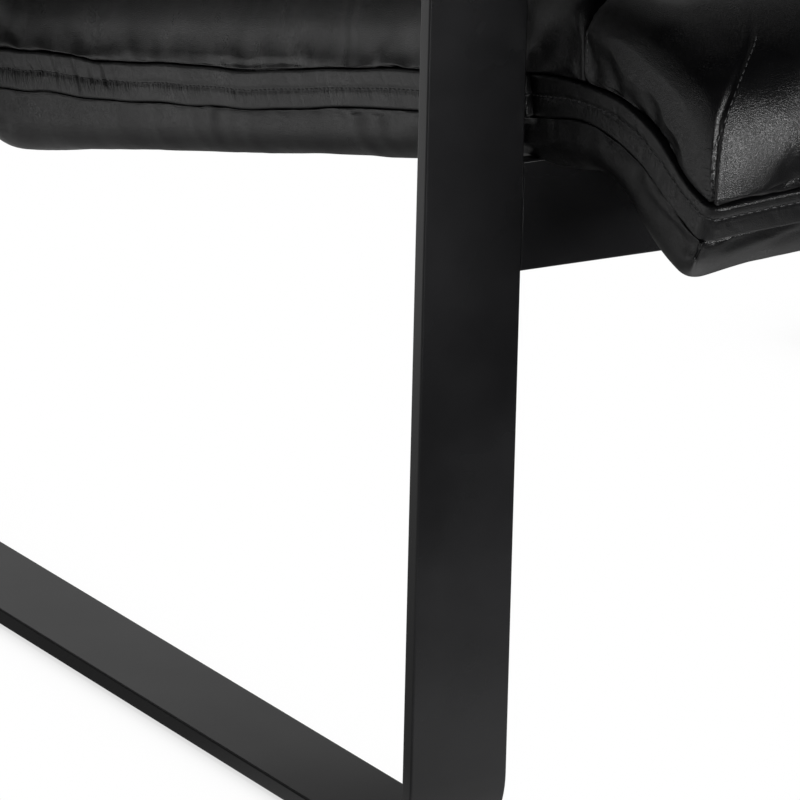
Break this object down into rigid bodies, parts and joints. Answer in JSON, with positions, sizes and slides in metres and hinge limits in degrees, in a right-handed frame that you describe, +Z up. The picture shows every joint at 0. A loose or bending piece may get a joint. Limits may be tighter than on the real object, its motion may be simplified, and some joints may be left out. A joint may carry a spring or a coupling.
{
  "type": "leather sling lounge chair",
  "caption": "Lounge chair with a padded black leather sling, bent into a seat and back, hung between closed side loops of flat steel bar.",
  "frame": {"origin": "on the floor, under the middle of the chair's outer box", "axes": "+Z up, -Y the way the sitter faces, +X to the right of someone looking at the front; left nodes are at -X"},
  "size_m": [0.684, 0.9182, 0.7191],
  "materials": {
    "frame_paint": "satin black powder coat",
    "leather": "smooth glossy black leather over foam",
    "inner_steel": "bare mild steel",
    "fastener_steel": "zinc plated",
    "webbing": "woven elastic webbing",
    "glide_plastic": "moulded nylon"
  },
  "bodies": {
    "root": {"back_pad": "leather", "back_strap_1": "webbing", "back_strap_2": "webbing", "back_strap_3": "webbing", "back_strap_4": "webbing", "back_underside_pad": "leather", "front_band": "leather", "front_cross_rail": "frame_paint", "front_left_bolt": "fastener_steel", "front_left_glide": "glide_plastic", "front_left_sleeve": "inner_steel", "front_left_tab": "frame_paint", "front_left_washer": "fastener_steel", "front_mount_tube": "inner_steel", "front_right_bolt": "fastener_steel", "front_right_glide": "glide_plastic", "front_right_sleeve": "inner_steel", "front_right_tab": "frame_paint", "front_right_washer": "fastener_steel", "front_roll_pad": "leather", "left_back_band": "leather", "left_inner_rail": "inner_steel", "left_seat_band": "leather", "left_side_frame": "frame_paint", "mid_back_tube": "inner_steel", "mid_seat_tube": "inner_steel", "nose_tube": "inner_steel", "rear_cross_rail": "frame_paint", "rear_left_bolt": "fastener_steel", "rear_left_glide": "glide_plastic", "rear_left_sleeve": "inner_steel", "rear_left_tab": "frame_paint", "rear_left_washer": "fastener_steel", "rear_mount_tube": "inner_steel", "rear_right_bolt": "fastener_steel", "rear_right_glide": "glide_plastic", "rear_right_sleeve": "inner_steel", "rear_right_tab": "frame_paint", "rear_right_washer": "fastener_steel", "right_back_band": "leather", "right_inner_rail": "inner_steel", "right_seat_band": "leather", "right_side_frame": "frame_paint", "seat_pad": "leather", "seat_strap_1": "webbing", "seat_strap_2": "webbing", "seat_strap_3": "webbing", "seat_strap_4": "webbing", "seat_strap_5": "webbing", "seat_underside_pad": "leather", "top_band": "leather", "top_tube": "inner_steel"}
  },
  "joints": []
}
